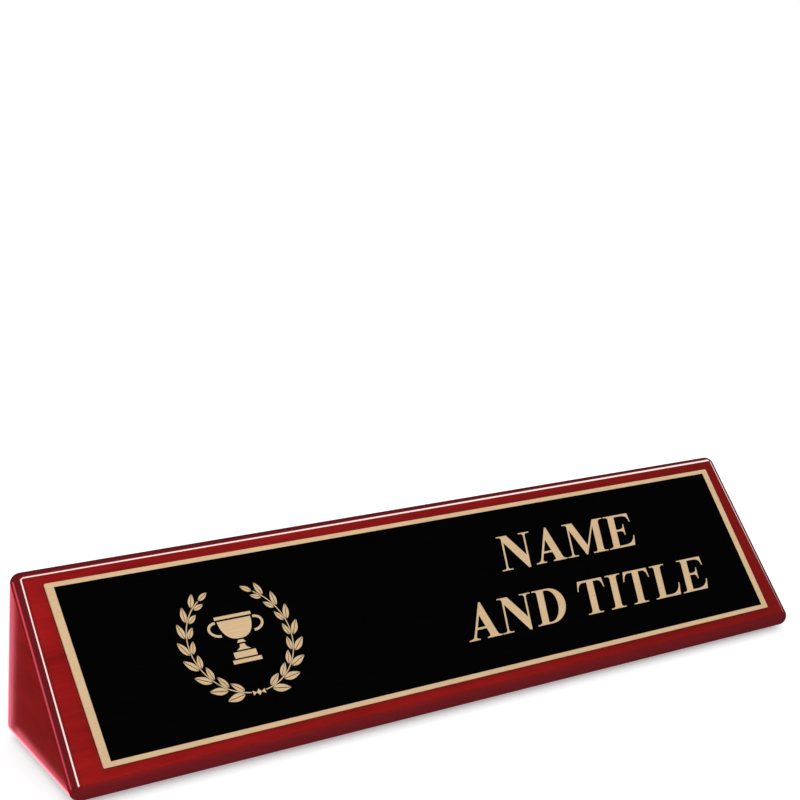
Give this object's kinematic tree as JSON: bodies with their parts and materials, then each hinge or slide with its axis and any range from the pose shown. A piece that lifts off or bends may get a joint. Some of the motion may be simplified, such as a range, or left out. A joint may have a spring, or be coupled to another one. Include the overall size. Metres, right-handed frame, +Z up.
{
  "type": "desk name plate wedge",
  "caption": "Lacquered wooden wedge that stands on a desk and shows an engraved brass name plate on its sloping face.",
  "frame": {"origin": "on the desk, under the middle of the wedge", "axes": "+X along the length, to the right of someone who reads the plate; +Y towards the upright back; +Z up"},
  "size_m": [0.25, 0.0454, 0.0467],
  "materials": {
    "cherry_lacquer": "high-gloss clear lacquer over red-stained rosewood",
    "black_coated_brass": "black enamel coat on brass, engraved through to the bright metal in the border, emblem and letters",
    "tape": "double-sided adhesive tape",
    "felt": "pressed black felt"
  },
  "bodies": {
    "root": {"wedge_body": "cherry_lacquer", "engraved_plate": "black_coated_brass", "tape_strip_lower": "tape", "tape_strip_upper": "tape", "felt_pad_front_left": "felt", "felt_pad_front_right": "felt", "felt_pad_back_left": "felt", "felt_pad_back_right": "felt"}
  },
  "joints": []
}
